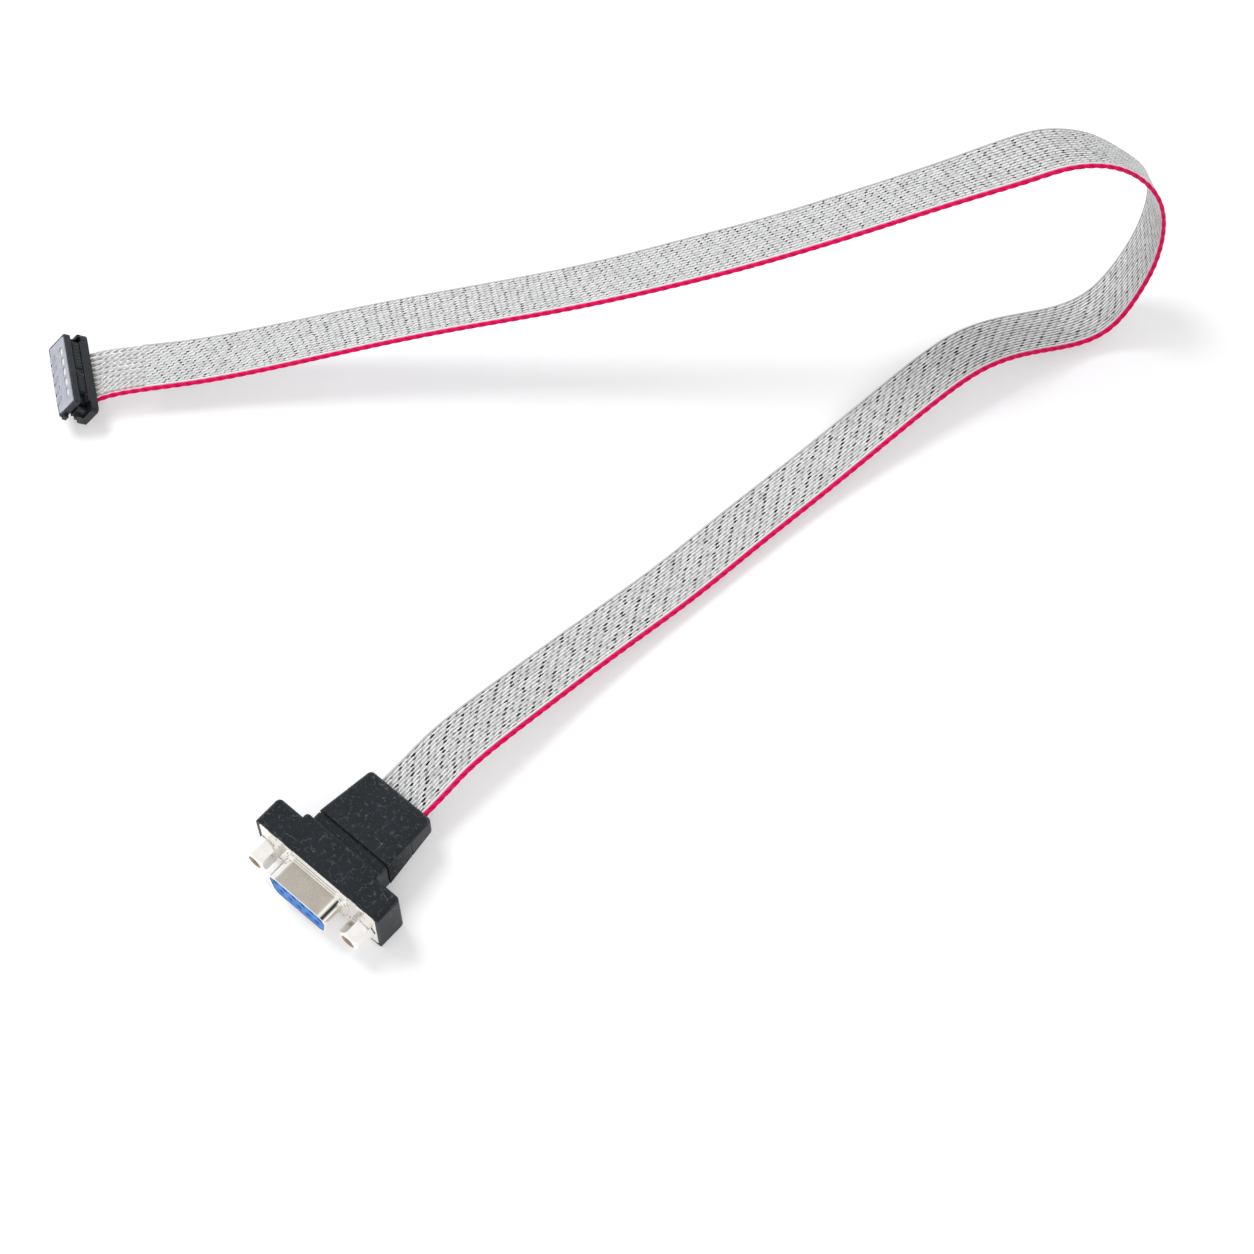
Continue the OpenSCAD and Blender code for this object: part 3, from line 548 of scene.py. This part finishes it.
# Rows of floats; past the web they lie on the separate conductors and spread with them
def makeFloats(name, side):
    random.seed(weave["seed"] + side)
    seedShape = bmesh.new()
    bmesh.ops.create_uvsphere(seedShape, u_segments=6, v_segments=5, radius=1)
    shape = []
    for v in seedShape.verts:
        blunt = math.copysign(abs(v.co.z) ** 0.6, v.co.z)    # poles along the float, ends blunter than a ball's
        shape.append((blunt, v.co.x, v.co.y))
    shapeFaces = [[v.index for v in f.verts] for f in seedShape.faces]
    seedShape.free()
    bm = bmesh.new()
    uv = bm.loops.layers.uv.verify()
    tone = bm.verts.layers.float.new("tone")
    for row in range(weave["grooves"] - 1):
        middle = weave["firstGroove"] + weave["rowPitch"] * (row + 0.5)
        nearest = round(middle / ribbon["width"] * ribbon["conductors"] + (ribbon["conductors"] - 1) / 2)
        ends = floatEnds(row + 0.5)
        for start, end in zip(ends, ends[1:]):
            centre = (start + end) / 2 + random.uniform(-0.05, 0.05) * (end - start)
            long = (end - start) / 2 * weave["overlap"] * random.uniform(0.92, 1.04)
            wide = weave["width"] / 2 * random.uniform(0.9, 1.12)
            high = weave["height"] * random.uniform(0.85, 1.05)
            lean = math.radians(weaveAt(centre)[2] + random.uniform(-3, 3)) * side
            shade = random.random()
            if centre < 0 or centre > weave["woven"]:
                continue
            verts = []
            for a, b, c in shape:
                x = min(max(centre + long * a, 0), cordLength)
                place, across, up, span = ribbonFrame(x)
                y = middle + wide * b + long * a * math.sin(lean) + wireAcross(nearest, span) - wireX(nearest)
                vert = bm.verts.new(place + across * y + up * side * (weave["level"] + high * c))
                vert[tone] = shade
                verts.append(vert)
            for corners in shapeFaces:
                face = bm.faces.new([verts[i] for i in corners])
                for loop, i in zip(face.loops, corners):
                    loop[uv].uv = (shape[i][0] + centre / mm, shape[i][1] + row * 3)
    bmesh.ops.recalc_face_normals(bm, faces=bm.faces)
    obj = addObject(name, bm, [wovenFloats])
    return obj


redEdge = {
    "lay": 0.0046,
    "step": 0.0002,
    "sides": 12,
    "valley": 0.28,
    "colors": ((0.72, 0.0005, 0.075), (0.93, 0.003, 0.14)),
    "valleyShadeColor": (0.16, 0.0, 0.02),
}


def redMaterial():
    material, tree, shader = newMaterial("redStrands", redEdge["colors"][1], 0.42)
    shader.inputs["Specular IOR Level"].default_value = 0.12
    uvMap = node(tree, "ShaderNodeUVMap", uv_map="UVMap")
    streaks = noiseOn(tree, uvMap.outputs["UV"], 2.5, 3)
    strand = rampOn(tree, streaks, [(0.3, redEdge["colors"][0]), (0.6, redEdge["colors"][1])])
    # painted shade: the valleys between the twisted strands darken towards a deep red
    valley = rangeOn(tree, attributeOn(tree, "valley"), 0.5, 1, 0, 0.9)
    link(tree, mixOn(tree, valley, strand, redEdge["valleyShadeColor"]), shader.inputs["Base Color"])
    link(tree, bumpOn(tree, streaks, 0.00003, 0.5), shader.inputs["Normal"])
    return material


redStrands = redMaterial()


def makeRedEdge():
    last = ribbon["conductors"] - 1
    radius = ribbon["redRadius"]
    bm = bmesh.new()
    layer = bm.verts.layers.float.new("valley")

    def outline(s, span):
        return twistOutline(wireAcross(last, span), radius, s, redEdge["lay"], redEdge["sides"], redEdge["valley"])

    # how deep a point lies in the valley between the strands, which the material paints as shade
    def mark(vert, s, x, z):
        reach = math.hypot(x - wireAcross(last, ribbonFrame(s)[3]), z)
        vert[layer] = (1 - reach / radius) / redEdge["valley"]

    sweep(bm, evenPlaces(0, cordLength, redEdge["step"]), outline, None, mark)
    obj = addObject("redEdge", bm, [redStrands])
    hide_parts("red_conductor")
    return obj


ribbonPiece = makeRibbon()
makeFloats("weaveBelow", 1)
makeFloats("weaveAbove", -1)
redPiece = makeRedEdge()
print("ribbon and red edge made")


# Hard parts: a copy of each solid with its edges rounded and its curves smooth
def dressedCopy(name, nodeName, materials, rounding=0.0001, segments=2, finishOrShadeOf=None, sharp=30, limit=1.0):
    bm = bmesh.new()
    bm.from_mesh(nodes[nodeName].data)
    bmesh.ops.remove_doubles(bm, verts=bm.verts, dist=0.000004)
    bmesh.ops.dissolve_limit(bm, angle_limit=math.radians(limit), verts=bm.verts, edges=bm.edges)
    if rounding:
        edges = [e for e in bm.edges if e.is_manifold and e.calc_face_angle(0) > math.radians(sharp)]
        bmesh.ops.bevel(bm, geom=edges, offset=rounding, offset_type="OFFSET", segments=segments, profile=0.5,
                        affect="EDGES", material=-1, clamp_overlap=True)
    # each face's material is chosen here: a grained or polished finish, or painted shade in a hole
    if finishOrShadeOf:
        bm.normal_update()
        for face in bm.faces:
            face.material_index = finishOrShadeOf(face)
    obj = addObject(name, bm, materials)
    obj.data.set_sharp_from_angle(angle=math.radians(sharp + 5))
    weighted = obj.modifiers.new("weighted", "WEIGHTED_NORMAL")
    weighted.keep_sharp = True
    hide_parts(nodeName)
    return obj


hoodFinish = {
    "colors": ((0.0075, 0.0105, 0.0135), (0.012, 0.016, 0.0205)),
    "scratchColor": (0.115, 0.13, 0.145),
    "roughness": 0.5,
    "cell": 560,
    "warp": 0.0026,
    "grain": 6000,
}


def hoodMaterial():
    material, tree, shader = newMaterial("hoodPlastic", hoodFinish["colors"][1], hoodFinish["roughness"])
    shader.inputs["Specular IOR Level"].default_value = 0.3
    place = objectPlace(tree)
    warpNoise = node(tree, "ShaderNodeTexNoise")
    warpNoise.inputs["Scale"].default_value = 620
    link(tree, place, warpNoise.inputs["Vector"])
    shift = node(tree, "ShaderNodeVectorMath", operation="MULTIPLY_ADD")
    link(tree, warpNoise.outputs["Color"], shift.inputs[0])
    shift.inputs[1].default_value = (hoodFinish["warp"],) * 3
    link(tree, place, shift.inputs[2])
    cracks = node(tree, "ShaderNodeTexVoronoi", feature="DISTANCE_TO_EDGE")
    cracks.inputs["Scale"].default_value = hoodFinish["cell"]
    link(tree, shift.outputs["Vector"], cracks.inputs["Vector"])
    thin = rangeOn(tree, cracks.outputs["Distance"], 0.012, 0.045, 1, 0)
    where = rangeOn(tree, noiseOn(tree, place, 900, 2), 0.49, 0.57, 0, 1)
    scratch = mathOn(tree, "MULTIPLY", thin, where)
    specks = rangeOn(tree, noiseOn(tree, place, 3000, 1), 0.66, 0.73, 0, 1)
    marks = mathOn(tree, "MAXIMUM", scratch, mathOn(tree, "MULTIPLY", specks, 0.6))
    patches = rampOn(tree, noiseOn(tree, place, 160, 2), [(0.3, hoodFinish["colors"][0]), (0.7, hoodFinish["colors"][1])])
    color = mixOn(tree, mathOn(tree, "MULTIPLY", marks, 0.6), patches, hoodFinish["scratchColor"])
    link(tree, color, shader.inputs["Base Color"])
    grain = noiseOn(tree, place, hoodFinish["grain"], 2)
    link(tree, rangeOn(tree, grain, 0.3, 0.7, 0.44, 0.6), shader.inputs["Roughness"])
    fine = bumpOn(tree, grain, 0.00004, 0.5)
    link(tree, bumpOn(tree, marks, 0.00006, 0.7, fine), shader.inputs["Normal"])
    return material


def nickelMaterial(name, color, low, high, grainBump):
    material, tree, shader = newMaterial(name, color, (low + high) / 2, 1.0)
    place = objectPlace(tree)
    grain = noiseOn(tree, place, 5200, 3, 0.65)
    link(tree, rangeOn(tree, grain, 0.3, 0.7, low, high), shader.inputs["Roughness"])
    stain = noiseOn(tree, place, 420, 3)
    darker = tuple(c * 0.92 for c in color)
    link(tree, rampOn(tree, stain, [(0.35, darker), (0.65, color)]), shader.inputs["Base Color"])
    link(tree, bumpOn(tree, grain, 0.00003, grainBump), shader.inputs["Normal"])
    return material


def plasticMaterial(name, color, roughness, grainScale=4000, grainBump=0.3, spread=0.15, shine=0.3):
    material, tree, shader = newMaterial(name, color, roughness)
    shader.inputs["Specular IOR Level"].default_value = shine
    place = objectPlace(tree)
    grain = noiseOn(tree, place, grainScale, 2)
    patches = noiseOn(tree, place, 500, 2)
    low = tuple(c * (1 - spread) for c in color)
    high = tuple(min(1, c * (1 + spread)) for c in color)
    link(tree, rampOn(tree, patches, [(0.3, low), (0.7, high)]), shader.inputs["Base Color"])
    link(tree, rangeOn(tree, grain, 0.3, 0.7, roughness - 0.06, roughness + 0.08), shader.inputs["Roughness"])
    link(tree, bumpOn(tree, grain, 0.00003, grainBump), shader.inputs["Normal"])
    return material


hoodPlastic = hoodMaterial()
nickelGrained = nickelMaterial("nickelGrained", (0.78, 0.74, 0.68), 0.22, 0.36, 0.6)
nickelBright = nickelMaterial("nickelBright", (0.96, 0.935, 0.90), 0.08, 0.16, 0.06)
# dark brown nickel, painted shade for the screwlocks' threaded holes
nickelShade = nickelMaterial("nickelShade", (0.34, 0.25, 0.17), 0.15, 0.25, 0.1)
bluePlastic = plasticMaterial("bluePlastic", (0.07, 0.29, 0.82), 0.4, 3500, 0.2, 0.15, 0.08)
# dark navy copy of the blue plastic, painted shade for the walls of the contact holes
blueShade = plasticMaterial("blueShade", (0.004, 0.018, 0.11), 0.5, 3500, 0.2, 0.15, 0.08)
palePlastic = plasticMaterial("palePlastic", (0.62, 0.61, 0.57), 0.5)
brassPlate = nickelMaterial("brassPlate", (0.80, 0.6, 0.3), 0.2, 0.34, 0.1)
socketPlastic = plasticMaterial("socketPlastic", (0.016, 0.02, 0.026), 0.42, 5200, 0.5, 0.3)
coverPlastic = plasticMaterial("coverPlastic", (0.012, 0.015, 0.019), 0.36, 5200, 0.4, 0.3)
facePlastic = plasticMaterial("facePlastic", (0.46, 0.475, 0.54), 0.5, 3000, 0.6, 0.12)
tinPlate = nickelMaterial("tinPlate", (0.82, 0.81, 0.77), 0.25, 0.4, 0.2)


# Wide flat top and underside of the shell are grained, everything else on it is polished
def shellFinish(face):
    return 0 if abs(face.normal.z) > 0.995 and face.calc_area() > 0.00002 else 1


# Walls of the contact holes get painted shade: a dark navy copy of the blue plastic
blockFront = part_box("front_insulator")[0][1]


def blockHoleShade(face):
    inside = face.calc_center_median().y > blockFront + 0.00015
    return 1 if inside and face.calc_area() < 0.0000008 and abs(face.normal.y) < 0.5 else 0


# Each screwlock is polished outside, and its threaded hole gets painted shade, a dark brown nickel
def lockHoleShade(nodeName):
    low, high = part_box(nodeName)
    middle = Vector(((low[0] + high[0]) / 2, 0, (low[2] + high[2]) / 2))

    def finishOrShadeOf(face):
        away = face.calc_center_median() - middle
        away.y = 0
        return 1 if away.dot(face.normal) < -0.0001 else 0

    return finishOrShadeOf


hardParts = [
    ("hoodShell", "hood", [hoodPlastic], "hood", 0.0001, 2, None),
    ("dShell", "front_shell", [nickelGrained, nickelBright], "shell", 0.0003, 3, shellFinish),
    ("backShell", "rear_shell", [nickelBright], "rear_shell", 0.00006, 2, None),
    ("faceBlock", "front_insulator", [bluePlastic, blueShade], "face_block", 0.00005, 2, blockHoleShade),
    ("leftLock", "screwlock_left", [nickelBright, nickelShade], "screwlocks", 0.00007, 2,
     lockHoleShade("screwlock_left")),
    ("rightLock", "screwlock_right", [nickelBright, nickelShade], "screwlocks", 0.00007, 2,
     lockHoleShade("screwlock_right")),
    ("socketCase", "socket_body", [socketPlastic], "socket", 0.00006, 2, None),
    ("socketPlate", "socket_face", [facePlastic], "socket_face", 0.00006, 2, None),
    ("socketBack", "socket_cover", [coverPlastic], "socket_cover", 0.00012, 2, None),
]
for name, nodeName, materials, slotName, rounding, segments, finishOrShadeOf in hardParts:
    dressedCopy(name, nodeName, materials, rounding, segments, finishOrShadeOf)


# Pieces that lie inside keep their solids and get their finish
def finishNode(nodeName, material):
    data = nodes[nodeName].data
    data.materials.clear()
    data.materials.append(material)


for nodeName, material in (("rear_insulator", palePlastic), ("upper_contacts", brassPlate),
                           ("lower_contacts", brassPlate), ("nut_left", nickelBright),
                           ("nut_right", nickelBright), ("hood_wires", selvedge),
                           ("upper_forks", tinPlate), ("lower_forks", tinPlate)):
    finishNode(nodeName, material)
print("connectors made")

cordPath = [ribbonFrame(s)[0] for s in evenPlaces(0, cordLength, 0.001)]
for s in evenPlaces(0, cordLength, 0.001):
    place, across, up, span = ribbonFrame(s)
    place + across * wireAcross(ribbon["conductors"] - 1, span)
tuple(cordPath[0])


# Plain pale floor, soft light from the upper left of the view, and a white world
studio = {
    "floorColor": (0.86, 0.86, 0.875),
    "floorSize": 6,
    "floorGlow": 0.3,
    "worldLight": 0.5,
    "lamps": [
        ("key", (-0.75, 0.1, 1.1), 0.7, 9.3),
        ("fill", (0.9, -0.5, 1.0), 1.0, 4.2),
    ],
    "middle": (0.0, 0.09, 0.0),
    # soft cards seen only in reflections: direction, angles of their even middle and of their rim, and color
    "cards": [
        ((-0.322, 0.218, 0.921), 11, 25, (0.58, 0.55, 0.51)),
        ((0.76, 0.21, 0.615), 8, 27, (0.04, 0.028, 0.02)),
    ],
}


def makeFloor():
    bm = bmesh.new()
    bmesh.ops.create_grid(bm, x_segments=1, y_segments=1, size=studio["floorSize"] / 2)
    mesh = bpy.data.meshes.new("floor")
    bm.to_mesh(mesh)
    bm.free()
    floor = bpy.data.objects.new("floor", mesh)
    bpy.context.scene.collection.objects.link(floor)
    material, tree, shader = newMaterial("floorPale", studio["floorColor"], 0.9)
    shader.inputs["Specular IOR Level"].default_value = 0.1
    glow = node(tree, "ShaderNodeEmission")
    glow.inputs["Color"].default_value = (1, 1, 1, 1)
    light = node(tree, "ShaderNodeLightPath")
    seen = mathOn(tree, "MAXIMUM", light.outputs["Is Camera Ray"], light.outputs["Is Glossy Ray"])
    seen = mathOn(tree, "MAXIMUM", seen, light.outputs["Is Transmission Ray"])
    link(tree, mathOn(tree, "MULTIPLY", seen, studio["floorGlow"]), glow.inputs["Strength"])
    both = node(tree, "ShaderNodeAddShader")
    link(tree, shader.outputs["BSDF"], both.inputs[0])
    link(tree, glow.outputs["Emission"], both.inputs[1])
    link(tree, both.outputs["Shader"], tree.nodes["Material Output"].inputs["Surface"])
    mesh.materials.append(material)


def makeWorld():
    world = bpy.data.worlds.new("studio")
    world.use_nodes = True
    bpy.context.scene.world = world
    tree = world.node_tree
    background = tree.nodes["Background"]
    light = node(tree, "ShaderNodeLightPath")
    seen = mathOn(tree, "MAXIMUM", light.outputs["Is Camera Ray"], light.outputs["Is Glossy Ray"])
    seen = mathOn(tree, "MAXIMUM", seen, light.outputs["Is Transmission Ray"])
    link(tree, rangeOn(tree, seen, 0, 1, studio["worldLight"], 1.0), background.inputs["Strength"])
    direction = node(tree, "ShaderNodeTexCoord").outputs["Generated"]
    color = (1.0, 1.0, 1.0)
    for aim, inner, outer, cardColor in studio["cards"]:
        nearness = node(tree, "ShaderNodeVectorMath", operation="DOT_PRODUCT")
        link(tree, direction, nearness.inputs[0])
        nearness.inputs[1].default_value = aim
        card = rangeOn(tree, nearness.outputs["Value"], math.cos(math.radians(outer)), math.cos(math.radians(inner)),
                       0, 1)
        color = mixOn(tree, card, color, cardColor)
    reflected = mixOn(tree, light.outputs["Is Glossy Ray"], (1.0, 1.0, 1.0), color)
    link(tree, reflected, background.inputs["Color"])


def makeLamps():
    for name, place, size, power in studio["lamps"]:
        data = bpy.data.lights.new(name, "AREA")
        data.shape = "DISK"
        data.size = size
        data.energy = power
        lamp = bpy.data.objects.new(name, data)
        bpy.context.scene.collection.objects.link(lamp)
        lamp.visible_glossy = False    # metal shows the cards and the white room, not the lamp
        lamp.location = place
        lamp.rotation_mode = "QUATERNION"
        lamp.rotation_quaternion = (Vector(studio["middle"]) - Vector(place)).to_track_quat("-Z", "Y")


makeFloor()
makeWorld()
makeLamps()
bpy.context.scene.view_settings.view_transform = "Standard"
print("studio lit")
